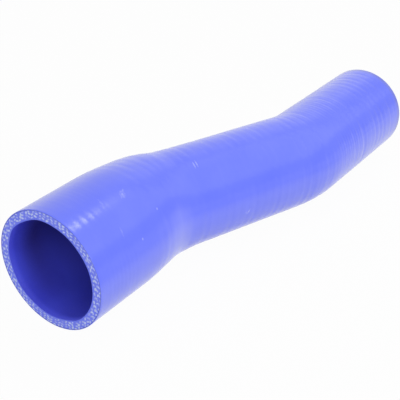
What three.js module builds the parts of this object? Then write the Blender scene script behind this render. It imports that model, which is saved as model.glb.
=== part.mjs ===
// Moulded silicone radiator hose in one piece: a large end, a taper, two opposite bends and a small end.
// Millimetres, +Z up. Both end sections run along +X, from the large end to the small end.
import * as THREE from 'three';

// Driving dimensions
const LARGE_BORE = 55;
const SMALL_BORE = 45;
const WALL = 5.5;
const LARGE_END_LENGTH = 66.5;
const MIDDLE_LENGTH = 100.5;
const SMALL_END_LENGTH = 84.5;
const BEND_ANGLE = THREE.MathUtils.degToRad(16.6);
// Radius left in the crook of each bend, beyond the hose's own outer radius
const FIRST_CROOK_RADIUS = 5;
const SECOND_CROOK_RADIUS = 37;
// The large bore stays cylindrical over the pipe that it is clamped on, then narrows
const LARGE_SEAT_LENGTH = 41.5;
const TAPER_LENGTH = 63.5;
// Tape binds the hose on its mandrel while it cures, and each turn leaves a low ridge all round
const TAPE_PITCH = 5.75;
const RIDGE_HEIGHT = 0.3;
// Where the hose bends the tape bunches, and its ridges stand higher
const BUNCHED_RIDGE_HEIGHT = 0.6;
const BUNCHED_REACH = 24;
// Share of the pitch over which a ridge falls away, before the gentle rise to the next
const RIDGE_FALL_SHARE = 0.35;

// Fineness of the faceted surface
const SIDES_AROUND = 44;
const BORE_STEP = 12;
const BEND_STEP = THREE.MathUtils.degToRad(3.4);

// Sizes that follow
const largeRadius = LARGE_BORE / 2 + WALL;
const smallRadius = SMALL_BORE / 2 + WALL;
const firstBendRadius = largeRadius + FIRST_CROOK_RADIUS;
const secondBendRadius = smallRadius + SECOND_CROOK_RADIUS;

// The centre line lies in one plane, as stretches of constant curvature
const firstBend = { length: firstBendRadius * BEND_ANGLE, curvature: -1 / firstBendRadius };
const secondBend = { length: secondBendRadius * BEND_ANGLE, curvature: 1 / secondBendRadius };
const stretches = [
  { length: LARGE_END_LENGTH, curvature: 0 },
  firstBend,
  { length: MIDDLE_LENGTH, curvature: 0 },
  secondBend,
  { length: SMALL_END_LENGTH, curvature: 0 },
];
const hoseLength = stretches.reduce((sum, stretch) => sum + stretch.length, 0);
const bendMiddles = [
  LARGE_END_LENGTH + firstBend.length / 2,
  hoseLength - SMALL_END_LENGTH - secondBend.length / 2,
];

// Point, heading and curvature of the centre line at a distance from the large end
function centreLineAt(distance) {
  const at = { along: 0, aside: 0, heading: 0, curvature: 0 };
  let left = distance;
  for (const { length, curvature } of stretches) {
    const run = Math.min(left, length);
    const turned = at.heading + curvature * run;
    if (curvature === 0) {
      at.along += run * Math.cos(turned);
      at.aside += run * Math.sin(turned);
    } else {
      at.along += (Math.sin(turned) - Math.sin(at.heading)) / curvature;
      at.aside += (Math.cos(at.heading) - Math.cos(turned)) / curvature;
    }
    if (run > 0) {
      at.curvature = curvature;
    }
    at.heading = turned;
    left -= run;
  }
  return at;
}

// Radius over the ridges at a distance from the large end, with a smooth start and end to the taper
function outerRadiusAt(distance) {
  const share = THREE.MathUtils.smoothstep(distance, LARGE_SEAT_LENGTH, LARGE_SEAT_LENGTH + TAPER_LENGTH);
  return THREE.MathUtils.lerp(largeRadius, smallRadius, share);
}

// Height of a tape ridge above the groove beside it
function ridgeHeightAt(distance) {
  const awayFromBend = Math.min(...bendMiddles.map((middle) => Math.abs(distance - middle)));
  const share = THREE.MathUtils.smoothstep(awayFromBend, 0, BUNCHED_REACH);
  return THREE.MathUtils.lerp(BUNCHED_RIDGE_HEIGHT, RIDGE_HEIGHT, share);
}

// Outside of the wall: a crest and a groove for every turn of tape, and a crest at both ends
function outsideProfile() {
  const turns = Math.round(hoseLength / TAPE_PITCH);
  const profile = [];
  for (let turn = 0; turn < turns; turn += 1) {
    const crest = (hoseLength * turn) / turns;
    const groove = (hoseLength * (turn + RIDGE_FALL_SHARE)) / turns;
    profile.push(new THREE.Vector2(outerRadiusAt(crest), crest));
    profile.push(new THREE.Vector2(outerRadiusAt(groove) - ridgeHeightAt(groove), groove));
  }
  profile.push(new THREE.Vector2(outerRadiusAt(hoseLength), hoseLength));
  return profile;
}

// Bore of the wall, with rings closer together in the bends
function boreProfile() {
  const distances = [0];
  for (const { length, curvature } of stretches) {
    const start = distances.at(-1);
    const count = Math.ceil(curvature === 0 ? length / BORE_STEP : BEND_ANGLE / BEND_STEP);
    for (let i = 1; i <= count; i += 1) {
      distances.push(start + (length * i) / count);
    }
  }
  return distances.map((distance) => new THREE.Vector2(outerRadiusAt(distance) - WALL, distance));
}

// Closed section of the wall: up the bore, across the small end, down the outside and across the large end
function wallProfile() {
  const bore = boreProfile();
  return [...bore, ...outsideProfile().reverse(), bore[0].clone()];
}

// Angle by which the bend plane leans, so that both end sections lie on the ground
function layAngle() {
  const offset = -centreLineAt(hoseLength).aside;
  return Math.asin((largeRadius - smallRadius) / offset);
}

// Share of a radius that is left where a bend squeezes the turns of tape, so that its grooves fill up
function squeezedShare(distance, radius, crowding) {
  const crest = outerRadiusAt(distance);
  const depth = crest - radius;
  return depth < WALL / 2 ? (crest - depth * Math.min(1, crowding)) / radius : 1;
}

// The straight revolved wall is bent: each vertex keeps its place in a section square to the centre line
function bendAlongCentreLine(geometry) {
  const position = geometry.getAttribute('position');
  for (let i = 0; i < position.count; i += 1) {
    const distance = position.getY(i);
    const { along, aside, heading, curvature } = centreLineAt(distance);
    const sideways = position.getX(i);
    const upward = position.getZ(i);
    const share = squeezedShare(distance, Math.hypot(sideways, upward), 1 - curvature * sideways);
    position.setX(i, along - sideways * share * Math.sin(heading));
    position.setY(i, aside + sideways * share * Math.cos(heading));
    position.setZ(i, upward * share);
  }
}

// Body of the hose, laid down on the ground with its origin under the middle of its box
function hoseGeometry(lean) {
  const geometry = new THREE.LatheGeometry(wallProfile(), SIDES_AROUND, lean);
  bendAlongCentreLine(geometry);
  geometry.rotateX(lean);
  geometry.computeBoundingBox();
  const { min, max } = geometry.boundingBox;
  geometry.translate(-(min.x + max.x) / 2, -(min.y + max.y) / 2, -min.z);
  geometry.deleteAttribute('uv');
  geometry.computeVertexNormals();
  return geometry;
}

const blueSilicone = new THREE.MeshStandardMaterial({
  name: 'blue_silicone',
  color: 0x2f36d6,
  roughness: 0.45,
  metalness: 0,
});

const hoseBody = new THREE.Mesh(hoseGeometry(layAngle()), blueSilicone);
hoseBody.name = 'hose_body';

const radiatorHose = new THREE.Group();
radiatorHose.add(hoseBody);

export default radiatorHose;
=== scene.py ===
import math

import bpy
import numpy as np
from mathutils import Matrix, Vector


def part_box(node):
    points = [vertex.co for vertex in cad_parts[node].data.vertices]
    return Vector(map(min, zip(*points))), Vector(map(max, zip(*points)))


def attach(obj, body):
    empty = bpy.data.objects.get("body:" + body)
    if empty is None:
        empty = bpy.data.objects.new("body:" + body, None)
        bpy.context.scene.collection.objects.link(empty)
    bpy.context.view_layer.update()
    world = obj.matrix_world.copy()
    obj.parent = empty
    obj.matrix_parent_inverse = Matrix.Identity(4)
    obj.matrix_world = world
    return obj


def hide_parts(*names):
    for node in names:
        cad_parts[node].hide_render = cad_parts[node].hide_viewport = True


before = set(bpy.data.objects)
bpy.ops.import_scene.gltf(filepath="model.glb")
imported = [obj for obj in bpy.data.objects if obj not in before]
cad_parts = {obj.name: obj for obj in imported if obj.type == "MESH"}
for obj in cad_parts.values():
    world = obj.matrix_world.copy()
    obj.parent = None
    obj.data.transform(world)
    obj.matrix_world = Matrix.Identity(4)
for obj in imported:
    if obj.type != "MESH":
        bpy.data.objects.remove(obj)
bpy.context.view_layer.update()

# Sizes of the moulding
hose_low, hose_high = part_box("hose_body")
LARGE_RADIUS = (hose_high.z - hose_low.z) / 2
SMALL_RADIUS = 0.028
WALL = 0.0055
LARGE_END_LENGTH = 0.0665
MIDDLE_LENGTH = 0.1005
SMALL_END_LENGTH = 0.0845
BEND_ANGLE = math.radians(16.6)
FIRST_CROOK_RADIUS = 0.005
SECOND_CROOK_RADIUS = 0.037
LARGE_SEAT_LENGTH = 0.0415
TAPER_LENGTH = 0.0635

# Ridges left by the turns of curing tape
TAPE_PITCH = 0.00575
TAPE_WANDER = 0.12
TAPE_WANDER_LENGTH = 0.02
TAPE_WANDER_WAVES = 1
TAPE_WANDER_SEED = 11
# Share of the pitch over which a ridge falls away, before the gentle rise to the next
RIDGE_FALL_SHARE = 0.35
RIDGE_HEIGHT = 0.00009
RIDGE_SHARES = (0.25, 1.0)
RIDGE_SEED = 5
LIVELY_RIDGE_HEIGHT = 0.00015
LIVELY_TURNS = (10, 12, 14, 17, 20, 23, 26, 30, 31, 33, 38, 40, 43, 44, 45, 47)
# The first turns, on the large end, lie nearly flush
SMOOTH_TURNS = 9
SMOOTH_SHARE = 0.5
# Each ridge also rises and falls on its way round
RIDGE_SWELL = 0.2
RIDGE_SWELL_WAVES = 2
RIDGE_SWELL_SEED = 23

# Weaker ripple between the ridges, in patches
RIPPLE_PITCH = 0.0029
RIPPLE_WANDER = 2.0
RIPPLE_WANDER_LENGTH = 0.02
RIPPLE_WANDER_WAVES = 2
RIPPLE_WANDER_SEED = 41
RIPPLE_PATCH_LENGTH = 0.011
RIPPLE_PATCH_LEVEL = 0.6
RIPPLE_PATCH_SWING = 0.8
RIPPLE_PATCH_SEED = 83
RIPPLE_HEIGHT = 0.00003
FAR_RIPPLE_HEIGHT = 0.00005
FAR_RIPPLE_START = 0.15
FAR_RIPPLE_RISE = 0.06
MOUTH_RIPPLE_MIDDLE = 0.010
MOUTH_RIPPLE_REACH = 0.014
# Beside the top of the large end's mouth a slower ripple stands up as a row of beads
BEAD_PITCH = 0.0046
BEAD_HEIGHT = 0.00006
FIRST_BEAD = 0.0024
BEADS_MIDDLE = 0.009
BEADS_REACH = 0.012
# Where the row lies round the hose, as the sine of the angle from its top
BEADS_SIDE = -0.34
BEADS_SIDE_REACH = 0.3

# Larger unevenness of the outside
SWELL_HEIGHT = 0.00008
SWELL_LENGTH = 0.018
SWELL_WAVES = 4
SWELL_SEED = 57
# Past the first bend the upper side draws in, then swells a little
HOLLOW_DEPTH = 0.0003
HOLLOW_MIDDLE = 0.087
HOLLOW_REACH = 0.004
HUMP_HEIGHT = 0.0002
HUMP_MIDDLE = 0.100
HUMP_REACH = 0.006
# The middle stretch is a little fuller than the ends
MIDDLE_FULLNESS = 0.00022
FULL_START = 0.090
FULL_END = 0.193
FULL_FADE = 0.022
# One turn of tape near the small end lies deeper
DEEP_TURN_DEPTH = 0.00014
DEEP_TURN_MIDDLE = 0.229
DEEP_TURN_REACH = 0.0018
# The squeezed crook of the first bend is rounded off this far to both sides
CROOK_FILL_REACH = 0.009
# Beside a bend the turns of tape are squeezed less and less, over this length
BEND_FADE = 0.009

# Plies of woven yarn that show in the cut ends
LINER = 0.0007
OUTER_SKIN = 0.0004
PLY_COUNT = 3
YARN_PITCH = 0.0025
YARN_LENGTH = 0.0020
YARN_WIDTH = 0.00105
YARN_RELIEF = 0.00016
# Bounds of what chance does to each yarn: its place, size and swing as shares, its tilt in radians
YARN_PLACES = (-0.18, 0.18)
YARN_LENGTH_SHARES = (0.75, 1.15)
YARN_WIDTH_SHARES = (0.75, 1.2)
YARN_TILTS = (0.15, 0.75)
YARN_SWINGS = (0.08, 0.26)
YARN_STRENGTHS = (0.45, 1.0)
# A yarn fades out at its rim, up to this many times its own reach
YARN_RIM = 1.25
YARN_FADE = 0.6
# The plies' relief starts this share into the liner and the outer skin
RELIEF_START = 0.3
LARGE_END_SEED = 91
SMALL_END_SEED = 71

# Edges of the cut ends
EDGE_ROUNDING = 0.0003
EDGE_SHARES = (0.0, 0.04, 0.12, 0.3, 1.0)
# Unevenness that the knife leaves on the bore's edge at both ends
KNIFE_WAVER = 0.0002
KNIFE_WAVES = range(3, 10)
KNIFE_SHARES = (0.2, 0.6)

# Fineness of the mesh
SIDES = 144
FACE_SIDES = 4 * SIDES
OUTSIDE_STEP = 0.0007
BORE_STEP = 0.0045
BEND_BORE_STEP = 0.0015
FACE_ROWS = 16
FIRST_FACE_ROW = 0.02
LAST_FACE_ROW = 0.985

# Finishes, by their place in the list of materials
OUTSIDE, CUT_FACE, BORE = range(3)

FULL_TURN = 2 * math.pi


# Centre line of the hose

FIRST_BEND_RADIUS = LARGE_RADIUS + FIRST_CROOK_RADIUS
SECOND_BEND_RADIUS = SMALL_RADIUS + SECOND_CROOK_RADIUS
STRETCHES = (
    (LARGE_END_LENGTH, 0.0),
    (FIRST_BEND_RADIUS * BEND_ANGLE, -1 / FIRST_BEND_RADIUS),
    (MIDDLE_LENGTH, 0.0),
    (SECOND_BEND_RADIUS * BEND_ANGLE, 1 / SECOND_BEND_RADIUS),
    (SMALL_END_LENGTH, 0.0),
)
HOSE_LENGTH = sum(length for length, curvature in STRETCHES)


def centre_line(distance):
    """Along, aside and heading of the centre line at an array of distances."""
    along = np.zeros_like(distance)
    aside = np.zeros_like(distance)
    heading = np.zeros_like(distance)
    start = 0.0
    for length, curvature in STRETCHES:
        run = np.clip(distance - start, 0, length)
        turned = heading + curvature * run
        if curvature == 0:
            along += run * np.cos(turned)
            aside += run * np.sin(turned)
        else:
            along += (np.sin(turned) - np.sin(heading)) / curvature
            aside += (np.cos(heading) - np.cos(turned)) / curvature
        heading = turned
        start += length
    return along, aside, heading


def lay_angle():
    """Lean of the bend plane that lays both end sections on the ground."""
    aside = centre_line(np.array([HOSE_LENGTH]))[1]
    return math.asin((LARGE_RADIUS - SMALL_RADIUS) / -float(aside[0]))


LAY_ANGLE = lay_angle()
LARGE_END_CENTRE = np.array([hose_low.x, hose_high.y - LARGE_RADIUS, hose_low.z + LARGE_RADIUS])


def laid_down(places):
    """Points of the straight hose (distance, sideways, upward), bent and laid on the ground."""
    along, aside, heading = centre_line(places[:, 0])
    x = along - places[:, 1] * np.sin(heading)
    y = aside + places[:, 1] * np.cos(heading)
    z = places[:, 2]
    leaned = np.stack([
        x,
        y * math.cos(LAY_ANGLE) - z * math.sin(LAY_ANGLE),
        y * math.sin(LAY_ANGLE) + z * math.cos(LAY_ANGLE),
    ], axis=1)
    return leaned + LARGE_END_CENTRE


# Seeded unevenness

SPARE_KNOTS = 4


def smooth_step(value):
    value = np.clip(value, 0, 1)
    return value * value * (3 - 2 * value)


def drift(distance, spacing, seed):
    """A smooth random curve along the hose, from -1 to 1, with a knot at each spacing."""
    knots = np.random.default_rng(seed).uniform(-1, 1, int(HOSE_LENGTH / spacing) + SPARE_KNOTS)
    at = np.clip(distance, 0, HOSE_LENGTH) / spacing
    first = np.floor(at).astype(int)
    share = smooth_step(at - first)
    return knots[first] * (1 - share) + knots[first + 1] * share


def swell(distance, angle, spacing, waves_round, seed):
    """Smooth random hollows and swellings over the outside, from about -1 to 1."""
    total = drift(distance, spacing, seed)
    for wave in range(1, waves_round + 1):
        total = total + drift(distance, spacing, seed + 2 * wave) * np.cos(wave * angle)
        total = total + drift(distance, spacing, seed + 2 * wave + 1) * np.sin(wave * angle)
    return total / math.sqrt(2 * waves_round + 1)


def bump_at(distance, middle, reach):
    """A smooth bump of height 1."""
    return np.exp(-((distance - middle) / reach) ** 2)


# Surfaces of the wall

def taper_radius(distance):
    """Radius over the crests of the ridges."""
    share = smooth_step((distance - LARGE_SEAT_LENGTH) / TAPER_LENGTH)
    return LARGE_RADIUS + (SMALL_RADIUS - LARGE_RADIUS) * share


def tape_groove(distance, angle):
    """Depth below the crests of the tape ridges."""
    wander = TAPE_WANDER * swell(distance, angle, TAPE_WANDER_LENGTH, TAPE_WANDER_WAVES, TAPE_WANDER_SEED)
    phase = distance / TAPE_PITCH + angle / FULL_TURN + wander
    turn = np.floor(phase).astype(int)
    share = phase - turn
    falling = 0.5 - 0.5 * np.cos(math.pi * share / RIDGE_FALL_SHARE)
    rising = 0.5 + 0.5 * np.cos(math.pi * (share - RIDGE_FALL_SHARE) / (1 - RIDGE_FALL_SHARE))
    depth = np.where(share < RIDGE_FALL_SHARE, falling, rising)
    turns = int(HOSE_LENGTH / TAPE_PITCH) + SPARE_KNOTS
    heights = RIDGE_HEIGHT * np.random.default_rng(RIDGE_SEED).uniform(*RIDGE_SHARES, turns)
    heights[:SMOOTH_TURNS] *= SMOOTH_SHARE
    heights[list(LIVELY_TURNS)] = LIVELY_RIDGE_HEIGHT
    swelling = swell(distance, angle, TAPE_PITCH, RIDGE_SWELL_WAVES, RIDGE_SWELL_SEED)
    uneven = 1 - RIDGE_SWELL + RIDGE_SWELL * swelling
    return depth * heights[np.clip(turn, 0, turns - 1)] * uneven


def eased_bending(distance):
    """Curvature that is felt at a distance. It fades in and out beside each bend."""
    total = 0 * distance
    start = 0.0
    for length, curvature in STRETCHES:
        beside = np.clip(np.maximum(start - distance, distance - start - length), 0, None)
        total = total + curvature * smooth_step(1 - beside / BEND_FADE)
        start += length
    return total


def crook_fill(distance, angle):
    """Height of silicone that rounds off the crook of the first bend, and eases the taper's drop there."""
    inner_side = np.clip(-np.sin(angle), 0, 1)
    half_bend = FIRST_BEND_RADIUS * BEND_ANGLE / 2
    middle = LARGE_END_LENGTH + half_bend
    squeezed = 1 - inner_side * taper_radius(middle) / FIRST_BEND_RADIUS
    in_bend = np.clip(distance - middle, -half_bend, half_bend)
    place = in_bend * squeezed + (distance - middle - in_bend)
    bend_reach = half_bend * squeezed
    wide_round = np.clip(CROOK_FILL_REACH - np.abs(place), 0, None) ** 2 / CROOK_FILL_REACH
    tight_round = np.clip(bend_reach - np.abs(place), 0, None) ** 2 / bend_reach
    rounding = math.tan(BEND_ANGLE / 2) / 2 * inner_side * (wide_round - tight_round)
    drop = taper_radius(middle - half_bend) - taper_radius(middle + half_bend)
    dropped = 0.5 + 0.5 * in_bend / half_bend
    eased = smooth_step(0.5 + 0.5 * place / CROOK_FILL_REACH)
    return rounding + drop * (1 - squeezed) * (dropped - eased)


def fine_ripple(distance, angle):
    """Depth of the weak ripple between the ridges, stronger towards the small end and at the large mouth."""
    wander = swell(distance, angle, RIPPLE_WANDER_LENGTH, RIPPLE_WANDER_WAVES, RIPPLE_WANDER_SEED)
    phase = FULL_TURN * distance / RIPPLE_PITCH + RIPPLE_WANDER * wander
    height = RIPPLE_HEIGHT + FAR_RIPPLE_HEIGHT * smooth_step((distance - FAR_RIPPLE_START) / FAR_RIPPLE_RISE)
    patches = drift(distance, RIPPLE_PATCH_LENGTH, RIPPLE_PATCH_SEED)
    height = height * np.clip(RIPPLE_PATCH_LEVEL + RIPPLE_PATCH_SWING * patches, 0, 1)
    height = height + RIPPLE_HEIGHT * bump_at(distance, MOUTH_RIPPLE_MIDDLE, MOUTH_RIPPLE_REACH)
    beaded = bump_at(distance, BEADS_MIDDLE, BEADS_REACH)
    beaded = beaded * bump_at(np.sin(angle), BEADS_SIDE, BEADS_SIDE_REACH)
    beads = BEAD_HEIGHT * (0.5 - 0.5 * np.cos(FULL_TURN * (distance - FIRST_BEAD) / BEAD_PITCH))
    return height * (1 - beaded) * (0.5 + 0.5 * np.sin(phase)) + beaded * beads


def drawn_in(distance, angle):
    """Depth by which the upper side draws in past the first bend, before it swells a little."""
    upper_side = (0.5 + 0.5 * np.cos(angle)) ** 2
    hollow = HOLLOW_DEPTH * bump_at(distance, HOLLOW_MIDDLE, HOLLOW_REACH)
    return upper_side * (hollow - HUMP_HEIGHT * bump_at(distance, HUMP_MIDDLE, HUMP_REACH))


def fullness(distance):
    """Height by which the middle stretch swells evenly all round."""
    inside = np.minimum(distance - FULL_START, FULL_END - distance)
    return MIDDLE_FULLNESS * smooth_step(inside / FULL_FADE)


def outside_radius(distance, angle):
    """Radius of the outside, with all its ridges, ripples and rounded edges."""
    crest = taper_radius(distance) + fullness(distance)
    crowding = np.clip(1 - eased_bending(distance) * crest * np.sin(angle), 0, 1)
    uneven = SWELL_HEIGHT * (0.5 + 0.5 * swell(distance, angle, SWELL_LENGTH, SWELL_WAVES, SWELL_SEED))
    relief = crowding * (tape_groove(distance, angle) + fine_ripple(distance, angle) + uneven)
    relief = relief + drawn_in(distance, angle) - crook_fill(distance, angle)
    relief = relief + DEEP_TURN_DEPTH * bump_at(distance, DEEP_TURN_MIDDLE, DEEP_TURN_REACH)
    edge = np.minimum(distance, HOSE_LENGTH - distance)
    edge_share = np.clip(1 - edge / EDGE_ROUNDING, 0, 1)
    relief = relief + EDGE_ROUNDING * (1 - np.sqrt(1 - edge_share ** 2))
    return crest - relief


def angles_round(count):
    return FULL_TURN * np.arange(count) / count


def ring(distance, radius, angle):
    """A closed loop of the straight hose: distance, sideways and upward of each vertex."""
    return np.stack([distance + 0 * angle, radius * np.sin(angle), radius * np.cos(angle)], axis=1)


def outside_rings():
    """From the large end to the small end. Each loop comes with its place through the wall and its yarn."""
    angle = angles_round(SIDES)
    start = [EDGE_ROUNDING * share for share in EDGE_SHARES]
    count = round((HOSE_LENGTH - 2 * EDGE_ROUNDING) / OUTSIDE_STEP)
    even = np.linspace(EDGE_ROUNDING, HOSE_LENGTH - EDGE_ROUNDING, count + 1)[1:-1]
    distances = [*start, *even, *(HOSE_LENGTH - step for step in reversed(start))]
    rings = []
    for distance in distances:
        radius = outside_radius(np.full(SIDES, distance), angle)
        rings.append((ring(distance, radius, angle), np.ones(SIDES), np.zeros(SIDES)))
    return rings


def knife_waver(angle, seed):
    """How far the bore's edge strays from a circle."""
    chance = np.random.default_rng(seed)
    total = 0 * angle
    for wave in KNIFE_WAVES:
        total = total + chance.uniform(*KNIFE_SHARES) * np.cos(wave * angle + chance.uniform(0, FULL_TURN))
    return KNIFE_WAVER * total


def bore_rings():
    """From the small end back to the large end."""
    angle = angles_round(SIDES)
    distances = [0.0]
    start = 0.0
    for length, curvature in STRETCHES:
        count = math.ceil(length / (BORE_STEP if curvature == 0 else BEND_BORE_STEP))
        distances += [start + length * (i + 1) / count for i in range(count)]
        start += length
    wavers = {0: knife_waver(angle, LARGE_END_SEED), len(distances) - 1: knife_waver(angle, SMALL_END_SEED)}
    rings = []
    for index in reversed(range(len(distances))):
        radius = taper_radius(distances[index]) - WALL + wavers.get(index, 0)
        rings.append((ring(distances[index], radius, angle), np.zeros(SIDES), np.zeros(SIDES)))
    return rings


# Cut yarn ends

def yarn_cells(angle, height, middle_radius, seed):
    """Share of cut yarn at points of a cut face, for one end's plies. Height is measured from the bore."""
    shown = np.zeros_like(angle)
    ply_space = (WALL - LINER - OUTER_SKIN) / PLY_COUNT
    for ply in range(PLY_COUNT):
        middle = LINER + ply_space * (ply + 0.5)
        radius = middle_radius - WALL / 2 + middle
        count = 2 * round(math.pi * radius / YARN_PITCH)
        chance = np.random.default_rng(seed + ply)
        place = chance.uniform(*YARN_PLACES, count)
        length = YARN_LENGTH * chance.uniform(*YARN_LENGTH_SHARES, count)
        width = YARN_WIDTH * chance.uniform(*YARN_WIDTH_SHARES, count)
        tilt = chance.uniform(*YARN_TILTS, count)
        swing = ply_space * chance.uniform(*YARN_SWINGS, count)
        strength = chance.uniform(*YARN_STRENGTHS, count)
        nearest = np.round(angle / FULL_TURN * count).astype(int)
        for step in (-1, 0, 1):
            yarn = nearest + step
            own = yarn % count
            upper = np.where(own % 2 == 0, 1.0, -1.0)
            aside = (angle - FULL_TURN * (yarn + place[own]) / count) * radius
            above = height - middle - upper * swing[own]
            lean = upper * tilt[own]
            along = aside * np.cos(lean) + above * np.sin(lean)
            across = above * np.cos(lean) - aside * np.sin(lean)
            reach = np.sqrt((2 * along / length[own]) ** 2 + (2 * across / width[own]) ** 2)
            shown = np.maximum(shown, strength[own] * smooth_step((YARN_RIM - reach) / YARN_FADE))
    return shown


def cut_face_rings(distance, inward, seed):
    """Rings of a cut end, from the bore out. Inward is 1 at the large end and -1 at the small end."""
    angle = angles_round(FACE_SIDES)
    edge_radius = outside_radius(np.full(FACE_SIDES, distance), angle)
    even_bore_radius = taper_radius(distance) - WALL
    bore_radius = even_bore_radius + knife_waver(angle, seed)
    rings = []
    for share in np.linspace(FIRST_FACE_ROW, LAST_FACE_ROW, FACE_ROWS):
        radius = bore_radius + (edge_radius - bore_radius) * share
        height = radius - bore_radius
        yarn = yarn_cells(angle, height, even_bore_radius + WALL / 2, seed)
        off_liner = smooth_step((height - RELIEF_START * LINER) / LINER)
        off_skin = smooth_step((WALL - RELIEF_START * OUTER_SKIN - height) / OUTER_SKIN)
        inside = off_liner * off_skin
        depth = YARN_RELIEF * inside * (1 - yarn)
        place = ring(distance + inward * depth, radius, angle)
        rings.append((place, np.full(FACE_SIDES, share), yarn * inside))
    return rings


# Mesh

def strip(first, second, first_count, second_count):
    """Faces between two closed loops, of equal count or with four times the vertices in one of them."""
    faces = []
    if first_count == second_count:
        for i in range(first_count):
            j = (i + 1) % first_count
            faces.append((first + i, second + i, second + j, first + j))
    elif second_count == 4 * first_count:
        for i in range(first_count):
            j = (i + 1) % first_count
            fine = [second + (4 * i + step) % second_count for step in range(5)]
            faces += [
                (first + i, fine[0], fine[1]),
                (first + i, fine[1], fine[2]),
                (first + i, fine[2], first + j),
                (first + j, fine[2], fine[3]),
                (first + j, fine[3], fine[4]),
            ]
    else:
        for i in range(second_count):
            j = (i + 1) % second_count
            fine = [first + (4 * i + step) % first_count for step in range(5)]
            faces += [
                (fine[0], second + i, fine[1]),
                (fine[1], second + i, fine[2]),
                (fine[2], second + i, second + j),
                (fine[2], second + j, fine[3]),
                (fine[3], second + j, fine[4]),
            ]
    return faces


def moulded_hose(materials):
    """The whole wall as one closed mesh: outside, small cut end, bore and large cut end."""
    sections = (
        (outside_rings(), OUTSIDE),
        (list(reversed(cut_face_rings(HOSE_LENGTH, -1, SMALL_END_SEED))), CUT_FACE),
        (bore_rings(), BORE),
        (cut_face_rings(0.0, 1, LARGE_END_SEED), CUT_FACE),
    )
    loops = []
    finishes = []
    for section, finish in sections:
        for loop in section:
            loops.append(loop)
            finishes.append(finish)
    starts = np.cumsum([0] + [len(loop[0]) for loop in loops])
    faces = []
    face_finishes = []
    for index, loop in enumerate(loops):
        other = (index + 1) % len(loops)
        made = strip(int(starts[index]), int(starts[other]), len(loop[0]), len(loops[other][0]))
        faces += made
        pair = {finishes[index], finishes[other]}
        face_finishes += [CUT_FACE if CUT_FACE in pair else pair.pop()] * len(made)
    places = np.concatenate([loop[0] for loop in loops])
    mesh = bpy.data.meshes.new("moulded_hose")
    mesh.from_pydata(laid_down(places).tolist(), [], faces)
    for material in materials:
        mesh.materials.append(material)
    mesh.polygons.foreach_set("material_index", face_finishes)
    mesh.polygons.foreach_set("use_smooth", [True] * len(faces))
    mesh.attributes.new("straight_place", "FLOAT_VECTOR", "POINT").data.foreach_set("vector", places.ravel())
    for name, column in (("through_wall", 1), ("cut_yarn", 2)):
        values = np.concatenate([loop[column] for loop in loops])
        mesh.attributes.new(name, "FLOAT", "POINT").data.foreach_set("value", values)
    mesh.update()
    hose = bpy.data.objects.new("moulded_hose", mesh)
    bpy.context.scene.collection.objects.link(hose)
    return hose


# Shader building

def node(tree, kind, **settings):
    made = tree.nodes.new(kind)
    for name, value in settings.items():
        setattr(made, name, value)
    return made


def feed(tree, value, socket):
    """Links an output to a socket, or sets the socket to a plain value."""
    if isinstance(value, bpy.types.NodeSocket):
        tree.links.new(value, socket)
    else:
        socket.default_value = value


def reckon(tree, operation, *terms):
    """One step of arithmetic."""
    made = node(tree, "ShaderNodeMath", operation=operation)
    for socket, term in zip(made.inputs, terms):
        feed(tree, term, socket)
    return made.outputs[0]


def between(tree, value, low, high, to_low=0.0, to_high=1.0):
    """Value carried from low..high to to_low..to_high, smoothly and kept inside."""
    made = node(tree, "ShaderNodeMapRange", interpolation_type="SMOOTHSTEP")
    for socket, term in zip(made.inputs, (value, low, high, to_low, to_high)):
        feed(tree, term, socket)
    return made.outputs[0]


# Places of a colour mix's own sockets on its node
MIX_SHARE = 0
MIX_FIRST = 6
MIX_SECOND = 7
MIX_RESULT = 2


def blended(tree, share, first, second):
    """The first colour where the share is 0, the second where it is 1."""
    made = node(tree, "ShaderNodeMix", data_type="RGBA")
    feed(tree, share, made.inputs[MIX_SHARE])
    feed(tree, first, made.inputs[MIX_FIRST])
    feed(tree, second, made.inputs[MIX_SECOND])
    return made.outputs[MIX_RESULT]


def new_group(name, inputs, outputs):
    """A shader node group with named sockets. Returns the group, its input node and its output node."""
    group = bpy.data.node_groups.new(name, "ShaderNodeTree")
    for label, kind, value in inputs:
        socket = group.interface.new_socket(label, in_out="INPUT", socket_type=kind)
        if value is not None:
            socket.default_value = value
    for label, kind in outputs:
        group.interface.new_socket(label, in_out="OUTPUT", socket_type=kind)
    return group, node(group, "NodeGroupInput"), node(group, "NodeGroupOutput")


def placed(tree, group, **values):
    """A group placed in a tree, with its sockets fed by name. Underscores in a name stand for spaces."""
    made = node(tree, "ShaderNodeGroup", node_tree=group)
    for name, value in values.items():
        feed(tree, value, made.inputs[name.replace("_", " ")])
    return made


FLOAT = "NodeSocketFloat"
VECTOR = "NodeSocketVector"

# Ramps for between(): low, high, and what these become where that isn't 0 and 1
NOISE_CONTRAST = (0.3, 0.7)
OVAL_FADE = (0.0, 1.6, 1.0, 0.0)


def section_group():
    """Where a point lies on the straight hose: distance along, angle round and radius."""
    group, given, out = new_group(
        "hose_section",
        [("Place", VECTOR, None)],
        [("Along", FLOAT), ("Angle", FLOAT), ("Radius", FLOAT)],
    )
    split = node(group, "ShaderNodeSeparateXYZ")
    group.links.new(given.outputs["Place"], split.inputs[0])
    angle = reckon(group, "ARCTAN2", split.outputs["Y"], split.outputs["Z"])
    squared = reckon(group, "ADD", reckon(group, "POWER", split.outputs["Y"], 2.0),
                     reckon(group, "POWER", split.outputs["Z"], 2.0))
    group.links.new(split.outputs["X"], out.inputs["Along"])
    group.links.new(angle, out.inputs["Angle"])
    group.links.new(reckon(group, "SQRT", squared), out.inputs["Radius"])
    return group


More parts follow.
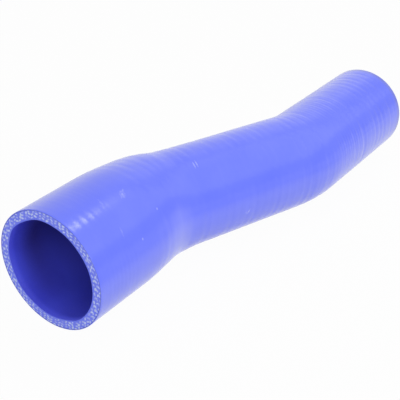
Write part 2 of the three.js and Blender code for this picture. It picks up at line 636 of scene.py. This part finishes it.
def mottle_group():
    """Cloudy unevenness of moulded rubber, coarse and fine, each from 0 to 1."""
    group, given, out = new_group(
        "rubber_mottle",
        [("Place", VECTOR, None), ("Coarse Size", FLOAT, 0.02), ("Fine Size", FLOAT, 0.002)],
        [("Coarse", FLOAT), ("Fine", FLOAT)],
    )
    for label, detail in (("Coarse", 3.0), ("Fine", 4.0)):
        made = node(group, "ShaderNodeTexNoise")
        group.links.new(given.outputs["Place"], made.inputs["Vector"])
        scale = reckon(group, "DIVIDE", 1.0, given.outputs[f"{label} Size"])
        group.links.new(scale, made.inputs["Scale"])
        made.inputs["Detail"].default_value = detail
        group.links.new(between(group, made.outputs["Fac"], *NOISE_CONTRAST), out.inputs[label])
    return group


def tape_cloth_group(section):
    """Fine square weave that the curing tape presses into the rubber, as a height from 0 to 1."""
    group, given, out = new_group(
        "tape_cloth",
        [("Place", VECTOR, None), ("Thread Pitch", FLOAT, 0.0006), ("Threads Round", FLOAT, 320.0)],
        [("Height", FLOAT)],
    )
    where = placed(group, section, Place=given.outputs["Place"])
    lengthwise = reckon(group, "DIVIDE", where.outputs["Along"], given.outputs["Thread Pitch"])
    weft = reckon(group, "SINE", reckon(group, "MULTIPLY", lengthwise, FULL_TURN))
    crosswise = reckon(group, "MULTIPLY", where.outputs["Angle"], given.outputs["Threads Round"])
    warp = reckon(group, "SINE", crosswise)
    woven = reckon(group, "MULTIPLY", weft, warp)
    group.links.new(reckon(group, "MULTIPLY_ADD", woven, 0.5, 0.5), out.inputs["Height"])
    return group


def oval_group(section):
    """One oval mark on the outside, as a mask, for rubbed marks, painted glints and painted reflections.
    Slant turns it away from the ring direction.
    """
    group, given, out = new_group(
        "oval_mark",
        [
            ("Place", VECTOR, None), ("Middle Along", FLOAT, 0.0), ("Middle Angle", FLOAT, 0.0),
            ("Length", FLOAT, 0.005), ("Width", FLOAT, 0.001), ("Slant", FLOAT, 0.0),
        ],
        [("Mask", FLOAT)],
    )
    where = placed(group, section, Place=given.outputs["Place"])
    off_along = reckon(group, "SUBTRACT", where.outputs["Along"], given.outputs["Middle Along"])
    off_angle = reckon(group, "SUBTRACT", where.outputs["Angle"], given.outputs["Middle Angle"])
    off_round = reckon(group, "MULTIPLY", off_angle, where.outputs["Radius"])
    cosine = reckon(group, "COSINE", given.outputs["Slant"])
    sine = reckon(group, "SINE", given.outputs["Slant"])
    lengthwise = reckon(group, "ADD", reckon(group, "MULTIPLY", off_round, cosine),
                        reckon(group, "MULTIPLY", off_along, sine))
    crosswise = reckon(group, "SUBTRACT", reckon(group, "MULTIPLY", off_along, cosine),
                       reckon(group, "MULTIPLY", off_round, sine))
    half_length = reckon(group, "MULTIPLY", given.outputs["Length"], 0.5)
    half_width = reckon(group, "MULTIPLY", given.outputs["Width"], 0.5)
    lengthwise_share = reckon(group, "DIVIDE", lengthwise, half_length)
    crosswise_share = reckon(group, "DIVIDE", crosswise, half_width)
    reach = reckon(group, "ADD", reckon(group, "POWER", lengthwise_share, 2.0),
                   reckon(group, "POWER", crosswise_share, 2.0))
    group.links.new(between(group, reach, *OVAL_FADE), out.inputs["Mask"])
    return group


def attribute(tree, name, output):
    return node(tree, "ShaderNodeAttribute", attribute_name=name).outputs[output]


def new_material(name):
    material = bpy.data.materials.new(name)
    material.use_nodes = True
    tree = material.node_tree
    tree.nodes.clear()
    shader = node(tree, "ShaderNodeBsdfPrincipled")
    output = node(tree, "ShaderNodeOutputMaterial")
    tree.links.new(shader.outputs[0], output.inputs["Surface"])
    return material, tree, shader


def bumped(tree, height, strength, depth, shader):
    made = node(tree, "ShaderNodeBump")
    made.inputs["Strength"].default_value = strength
    made.inputs["Distance"].default_value = depth
    tree.links.new(height, made.inputs["Height"])
    tree.links.new(made.outputs["Normal"], shader.inputs["Normal"])


# Finishes

SILICONE_BLUE = (0.128, 0.175, 0.94, 1)
SILICONE_PALE = (0.160, 0.208, 0.95, 1)
PALE_RUB_AND_PAINTED_REFLECTION_BLUE = (0.36, 0.40, 0.98, 1)
END_GREY = (0.17, 0.20, 0.62, 1)
BORE_BLUE = (0.063, 0.077, 0.71, 1)
BORE_DEEP = (0.052, 0.061, 0.63, 1)
BORE_LIT = (0.096, 0.110, 0.86, 1)
BORE_PAINTED_SHADE = (0.022, 0.019, 0.18, 1)
MATRIX_BLUE = (0.240, 0.290, 0.98, 1)
GAP_SHADE_BLUE = (0.140, 0.185, 0.95, 1)
YARN_WHITE = (0.55, 0.64, 1.0, 1)
EDGE_SHADE_BLUE = (0.060, 0.075, 0.34, 1)

# Angles round the hose, from its top towards +Y
LOW_FRONT = math.radians(-91.0)
UPPER_BACK = math.radians(20.0)
LOWER_FRONT = math.radians(-125.0)

# Two or four numbers in brackets are a ramp for between(), apart from a bump's, its strength and depth

# Cloudy tone, fine specks and woven imprint of the outside
OUTSIDE_CLOUD = 0.018
OUTSIDE_SPECK = 0.0012
CLOUD_SHARE = 0.35
OUTSIDE_ROUGHNESS = (0.0, 1.0, 0.18, 0.22)
OUTSIDE_BUMP = (0.10, 0.00002)
CLOTH_PITCH = 0.0006
CLOTH_THREADS_ROUND = 320.0
CLOTH_SHARE = 0.5
SHEEN = 0.26
SHEEN_ROUGHNESS = 0.36
# Painted reflection of the floor, a pale patch in the crook of the first bend: middle along, angle, length,
# width, slant and strength
CROOK_PAINTED_REFLECTION = (0.068, math.radians(-97.0), 0.044, 0.034, 0.30, 0.31)
# Painted reflection, paler along the low front, by the cosine of the angle from its middle, and its wider
# part near the small end
LOW_FRONT_PAINTED_REFLECTION = (0.93, 0.995, 0.0, 0.2)
FAR_PAINTED_REFLECTION = (0.890, 0.920, 0.0, 0.12)
FAR_PAINTED_REFLECTION_STRETCH = (0.185, 0.215)
# Greyed rim of the small end
END_TONE = (HOSE_LENGTH - 0.0045, HOSE_LENGTH - 0.0015, 0.0, 0.7)
# How patchy the rubbed marks and painted glints are, and the marks, each given as the crook's painted
# reflection is. Some are real rubs and specks; the pale marks near 0.026, 0.040 and 0.098 to 0.100 along, on
# the upper front, are painted glints of the streak lamp.
RUB_AND_GLINT_BREAKUP = (0.2, 0.8, 0.25, 1.0)
RUBS_AND_GLINTS = (
    (0.0975, math.radians(-18.5), 0.0050, 0.0009, 0.15, 0.65),
    (0.0995, math.radians(-17.0), 0.0055, 0.0009, 0.15, 0.70),
    (0.1248, math.radians(-94.0), 0.0030, 0.0013, -0.90, 1.00),
    (0.1260, math.radians(-92.5), 0.0034, 0.0012, 0.40, 1.00),
    (0.0348, math.radians(-60.5), 0.0014, 0.0013, 0.00, 1.00),
    (0.0523, math.radians(-45.5), 0.0014, 0.0012, 0.00, 0.70),
    (0.0397, math.radians(-18.0), 0.0048, 0.0032, 0.50, 0.55),
    (0.0402, math.radians(-17.0), 0.0075, 0.0011, 0.95, 0.45),
    (0.0260, math.radians(-13.5), 0.0045, 0.0012, 0.20, 0.35),
    (0.0243, math.radians(-45.5), 0.0060, 0.0010, 0.10, 0.28),
)

# Cut ends: fine fraying of the yarn, and how much of each yarn and of the painted shade in each gap between
# yarns shows
CUT_CLOUD = 0.003
CUT_SPECK = 0.0003
FRAY_SWING = 0.3
FRAY_MIDDLE = 0.15
YARN_SHOWN = (0.25, 0.8)
GAP_SHADE_SHOWN = (-0.05, 0.22, 1.0, 0.0)
# Plain layers of the wall, and painted shade along its outer edge, by the place through the wall from 0 at
# the bore to 1
LINER_LAYER = (0.06, 0.16, 1.0, 0.0)
SKIN_LAYER = (0.9, 0.96)
EDGE_SHADE_LAYER = (0.91, 0.96, 0.0, 0.6)
CUT_ROUGHNESS = (0.0, 1.0, 0.5, 0.8)
CUT_BUMP = (0.4, 0.00005)

# Bore: cloudy tone and fine specks
BORE_CLOUD = 0.02
BORE_SPECK = 0.0009
BORE_ROUGHNESS = (0.0, 1.0, 0.55, 0.65)
BORE_BUMP = (0.2, 0.00003)
BORE_IOR = 1.3
# Painted shade: darker past the mouth, most of all on its upper back
PAST_MOUTH = (0.002, 0.020)
PAINTED_SHADE_BACK = (-1.25, 0.6, 0.0, 0.85)
# A belt of painted shade just inside the mouth fades in, fades out, and keeps off the lower front and the
# upper back
BELT_START = (0.003, 0.012)
BELT_END = (0.014, 0.028, 0.25, 0.0)
BELT_OFF_FRONT = (0.1, 0.6, 1.0, 0.0)
BELT_OFF_BACK = (0.2, 0.7, 1.0, 0.0)
# Painted light: brighter deep inside and on the lower front
LIT_DEPTH = (0.023, 0.042, 0.0, 0.9)
LIT_FRONT = (0.3, 0.95, 0.0, 0.6)


def oval_mark(tree, groups, place, mark):
    """Mask of one mark, times its strength."""
    along, angle, length, width, slant, strength = mark
    made = placed(tree, groups["oval"], Place=place, Middle_Along=along, Middle_Angle=angle,
                  Length=length, Width=width, Slant=slant)
    return reckon(tree, "MULTIPLY", made.outputs["Mask"], strength)


def facing(tree, where, angle):
    """Cosine of the angle round the hose between a point and a given line."""
    return reckon(tree, "COSINE", reckon(tree, "SUBTRACT", where.outputs["Angle"], angle))


def outside_finish(groups):
    material, tree, shader = new_material("blue_silicone_outside")
    place = attribute(tree, "straight_place", "Vector")
    mottle = placed(tree, groups["mottle"], Place=place, Coarse_Size=OUTSIDE_CLOUD, Fine_Size=OUTSIDE_SPECK)
    clouded = reckon(tree, "MULTIPLY", mottle.outputs["Coarse"], CLOUD_SHARE)
    colour = blended(tree, clouded, SILICONE_BLUE, SILICONE_PALE)
    # Rubbed marks and specks, with painted glints of the streak lamp among them
    rubs_and_glints = 0.0
    for mark in RUBS_AND_GLINTS:
        rubs_and_glints = reckon(tree, "MAXIMUM", oval_mark(tree, groups, place, mark), rubs_and_glints)
    # Painted reflection: a pale patch in the crook of the first bend
    colour = blended(tree, oval_mark(tree, groups, place, CROOK_PAINTED_REFLECTION), colour, PALE_RUB_AND_PAINTED_REFLECTION_BLUE)
    where = placed(tree, groups["section"], Place=place)
    along = where.outputs["Along"]
    from_low_front = facing(tree, where, LOW_FRONT)
    # Painted reflection: paler along the low front, wider near the small end
    colour = blended(tree, between(tree, from_low_front, *LOW_FRONT_PAINTED_REFLECTION), colour, PALE_RUB_AND_PAINTED_REFLECTION_BLUE)
    far_painted_reflection = reckon(tree, "MULTIPLY", between(tree, from_low_front, *FAR_PAINTED_REFLECTION),
                       between(tree, along, *FAR_PAINTED_REFLECTION_STRETCH))
    colour = blended(tree, far_painted_reflection, colour, PALE_RUB_AND_PAINTED_REFLECTION_BLUE)
    colour = blended(tree, between(tree, along, *END_TONE), colour, END_GREY)
    # Fine specks break up the rubbed marks and the painted glints
    broken_up = between(tree, mottle.outputs["Fine"], *RUB_AND_GLINT_BREAKUP)
    colour = blended(tree, reckon(tree, "MULTIPLY", rubs_and_glints, broken_up), colour, PALE_RUB_AND_PAINTED_REFLECTION_BLUE)
    feed(tree, colour, shader.inputs["Base Color"])
    feed(tree, between(tree, mottle.outputs["Fine"], *OUTSIDE_ROUGHNESS), shader.inputs["Roughness"])
    shader.inputs["Sheen Weight"].default_value = SHEEN
    shader.inputs["Sheen Roughness"].default_value = SHEEN_ROUGHNESS
    cloth = placed(tree, groups["cloth"], Place=place, Thread_Pitch=CLOTH_PITCH,
                   Threads_Round=CLOTH_THREADS_ROUND)
    height = reckon(tree, "MULTIPLY_ADD", cloth.outputs["Height"], CLOTH_SHARE, mottle.outputs["Fine"])
    bumped(tree, height, *OUTSIDE_BUMP, shader)
    return material


def cut_face_finish(groups):
    material, tree, shader = new_material("cut_ply_ends")
    place = attribute(tree, "straight_place", "Vector")
    yarn = attribute(tree, "cut_yarn", "Fac")
    mottle = placed(tree, groups["mottle"], Place=place, Coarse_Size=CUT_CLOUD, Fine_Size=CUT_SPECK)
    even = reckon(tree, "SUBTRACT", yarn, FRAY_MIDDLE)
    frayed = reckon(tree, "MULTIPLY_ADD", mottle.outputs["Fine"], FRAY_SWING, even)
    shown = between(tree, frayed, *YARN_SHOWN)
    # Painted shade in the gaps between the yarns
    gap_shade = between(tree, frayed, *GAP_SHADE_SHOWN)
    through = attribute(tree, "through_wall", "Fac")
    plain = reckon(tree, "MAXIMUM", between(tree, through, *LINER_LAYER),
                   between(tree, through, *SKIN_LAYER))
    matrix = blended(tree, plain, blended(tree, gap_shade, MATRIX_BLUE, GAP_SHADE_BLUE), SILICONE_BLUE)
    woven = blended(tree, shown, matrix, YARN_WHITE)
    # Painted shade along the outer edge of the cut
    colour = blended(tree, between(tree, through, *EDGE_SHADE_LAYER), woven, EDGE_SHADE_BLUE)
    feed(tree, colour, shader.inputs["Base Color"])
    feed(tree, between(tree, shown, *CUT_ROUGHNESS), shader.inputs["Roughness"])
    bumped(tree, mottle.outputs["Fine"], *CUT_BUMP, shader)
    return material


def bore_finish(groups):
    material, tree, shader = new_material("bore_liner")
    place = attribute(tree, "straight_place", "Vector")
    mottle = placed(tree, groups["mottle"], Place=place, Coarse_Size=BORE_CLOUD, Fine_Size=BORE_SPECK)
    where = placed(tree, groups["section"], Place=place)
    from_upper_back = facing(tree, where, UPPER_BACK)
    from_lower_front = facing(tree, where, LOWER_FRONT)
    from_small_end = reckon(tree, "SUBTRACT", HOSE_LENGTH, where.outputs["Along"])
    depth = reckon(tree, "MINIMUM", where.outputs["Along"], from_small_end)
    # Painted shade past the mouth, most of all on the upper back, and in a belt just inside the mouth
    painted_shade = reckon(tree, "MULTIPLY", between(tree, from_upper_back, *PAINTED_SHADE_BACK),
                    between(tree, depth, *PAST_MOUTH))
    belt = between(tree, depth, *BELT_START)
    for value, ramp in (
        (depth, BELT_END),
        (from_lower_front, BELT_OFF_FRONT),
        (from_upper_back, BELT_OFF_BACK),
    ):
        belt = reckon(tree, "MULTIPLY", belt, between(tree, value, *ramp))
    painted_shade = reckon(tree, "ADD", painted_shade, belt)
    # Painted light deep inside and on the lower front
    lit = reckon(tree, "ADD", between(tree, depth, *LIT_DEPTH), between(tree, from_lower_front, *LIT_FRONT))
    colour = blended(tree, mottle.outputs["Coarse"], BORE_BLUE, BORE_DEEP)
    colour = blended(tree, lit, colour, BORE_LIT)
    feed(tree, blended(tree, painted_shade, colour, BORE_PAINTED_SHADE), shader.inputs["Base Color"])
    feed(tree, between(tree, mottle.outputs["Fine"], *BORE_ROUGHNESS), shader.inputs["Roughness"])
    shader.inputs["IOR"].default_value = BORE_IOR
    bumped(tree, mottle.outputs["Fine"], *BORE_BUMP, shader)
    return material


# Studio

# Camera: the lens is in pixels of its square picture, and both angles are in radians
LENS_PIXELS = 888.5
IMAGE_PIXELS = 400
SENSOR = 36.0
CAMERA_AZIMUTH = 0.609
CAMERA_ELEVATION = 0.514
# The large end's centre lies this far off the camera's axis, as slopes of the ray to it
LARGE_END_RIGHT = -0.1694
LARGE_END_DOWN = 0.0802
CAMERA_DISTANCE = 0.43167
NEAREST_SEEN = 0.01

FLOOR_RADIUS = 4.0
FLOOR_SIDES = 64
FLOOR_WHITE = (0.62, 0.62, 0.62, 1)
FLOOR_GLOW_SHARE = 0.97

ROOM_LIGHT = 0.51
DARK_SIDE = 0.54
# Sideways slopes between which a reflection passes from the dark side of the room to the white backdrop
DARK_EDGE = -0.25
WHITE_EDGE = 0.22

# Lamps: name, direction from the hose, distance, side length and brightness of the face, where 1 is white
LAMPS = (
    ("overhead_softbox", (0.38, -0.50, 0.78), 1.2, 1.4, 0.68),
    ("back_softbox", (0.75, 0.55, 0.38), 1.6, 1.5, 0.20),
    ("key_softbox", (-0.58, -0.69, 0.44), 1.5, 1.0, 3.3),
    ("streak_lamp", (0.200, -0.118, 0.972), 0.383, 0.070, 7.6),
)


def photo_camera():
    forward = Vector((
        math.cos(CAMERA_AZIMUTH) * math.cos(CAMERA_ELEVATION),
        math.sin(CAMERA_AZIMUTH) * math.cos(CAMERA_ELEVATION),
        -math.sin(CAMERA_ELEVATION),
    ))
    right = Vector((math.sin(CAMERA_AZIMUTH), -math.cos(CAMERA_AZIMUTH), 0))
    down = forward.cross(right)
    ray = forward + right * LARGE_END_RIGHT + down * LARGE_END_DOWN
    data = bpy.data.cameras.new("photo_camera")
    data.lens = LENS_PIXELS / IMAGE_PIXELS * SENSOR
    data.sensor_width = SENSOR
    data.clip_start = NEAREST_SEEN
    camera = bpy.data.objects.new("photo_camera", data)
    turn = Matrix((right, -down, -forward)).transposed().to_4x4()
    camera.matrix_world = Matrix.Translation(Vector(LARGE_END_CENTRE) - ray * CAMERA_DISTANCE) @ turn
    bpy.context.scene.collection.objects.link(camera)
    bpy.context.scene.camera = camera


def seen_rays(tree):
    """Two values: 1 for a ray from the camera, and 1 for one from a reflection or through clear matter."""
    seen = node(tree, "ShaderNodeLightPath")
    mirrored = reckon(tree, "MAXIMUM", seen.outputs["Is Glossy Ray"], seen.outputs["Is Transmission Ray"])
    return seen.outputs["Is Camera Ray"], mirrored


def pale_floor():
    """Floor that glows white where it is seen, and is plain pale paint for the light that falls on it."""
    material = bpy.data.materials.new("pale_floor")
    material.use_nodes = True
    tree = material.node_tree
    tree.nodes.clear()
    paint = node(tree, "ShaderNodeBsdfDiffuse")
    paint.inputs["Color"].default_value = FLOOR_WHITE
    glow = node(tree, "ShaderNodeEmission")
    mixed = node(tree, "ShaderNodeMixShader")
    straight, mirrored = seen_rays(tree)
    share = reckon(tree, "MULTIPLY", reckon(tree, "MAXIMUM", mirrored, straight), FLOOR_GLOW_SHARE)
    tree.links.new(share, mixed.inputs[0])
    tree.links.new(paint.outputs[0], mixed.inputs[1])
    tree.links.new(glow.outputs[0], mixed.inputs[2])
    output = node(tree, "ShaderNodeOutputMaterial")
    tree.links.new(mixed.outputs[0], output.inputs["Surface"])
    mesh = bpy.data.meshes.new("floor")
    angles = angles_round(FLOOR_SIDES)
    corners = [(FLOOR_RADIUS * math.cos(angle), FLOOR_RADIUS * math.sin(angle), 0.0) for angle in angles]
    mesh.from_pydata(corners, [], [range(FLOOR_SIDES)])
    mesh.materials.append(material)
    floor = bpy.data.objects.new("floor", mesh)
    bpy.context.scene.collection.objects.link(floor)


def studio_room():
    """Room that is white where the camera sees it, and half dark and half white in reflections."""
    world = bpy.data.worlds.new("studio_room")
    bpy.context.scene.world = world
    world.use_nodes = True
    tree = world.node_tree
    tree.nodes.clear()
    direction = node(tree, "ShaderNodeTexCoord").outputs["Generated"]
    split = node(tree, "ShaderNodeSeparateXYZ")
    tree.links.new(direction, split.inputs[0])
    reflected = between(tree, split.outputs["Y"], DARK_EDGE, WHITE_EDGE, DARK_SIDE, 1.0)
    straight, mirrored = seen_rays(tree)
    change = reckon(tree, "SUBTRACT", reflected, ROOM_LIGHT)
    strength = reckon(tree, "MULTIPLY_ADD", mirrored, change, ROOM_LIGHT)
    strength = reckon(tree, "MULTIPLY_ADD", straight, reckon(tree, "SUBTRACT", 1.0, strength), strength)
    background = node(tree, "ShaderNodeBackground")
    background.inputs["Color"].default_value = (1, 1, 1, 1)
    tree.links.new(strength, background.inputs["Strength"])
    output = node(tree, "ShaderNodeOutputWorld")
    tree.links.new(background.outputs[0], output.inputs["Surface"])


def soft_lamp(name, direction, distance, size, brightness):
    """A square lamp that faces the hose. Brightness is that of its face, where 1 is white."""
    data = bpy.data.lights.new(name, "AREA")
    data.size = size
    data.energy = brightness * math.pi * size * size
    lamp = bpy.data.objects.new(name, data)
    towards = Vector(direction).normalized()
    lamp.location = towards * distance
    lamp.rotation_euler = towards.to_track_quat("Z", "Y").to_euler()
    bpy.context.scene.collection.objects.link(lamp)


bpy.context.scene.view_settings.view_transform = "Standard"
photo_camera()
pale_floor()
studio_room()
for lamp in LAMPS:
    soft_lamp(*lamp)

section = section_group()
finish_groups = {
    "section": section,
    "mottle": mottle_group(),
    "cloth": tape_cloth_group(section),
    "oval": oval_group(section),
}
hose = moulded_hose([
    outside_finish(finish_groups),
    cut_face_finish(finish_groups),
    bore_finish(finish_groups),
])
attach(hose, "root")
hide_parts("hose_body")
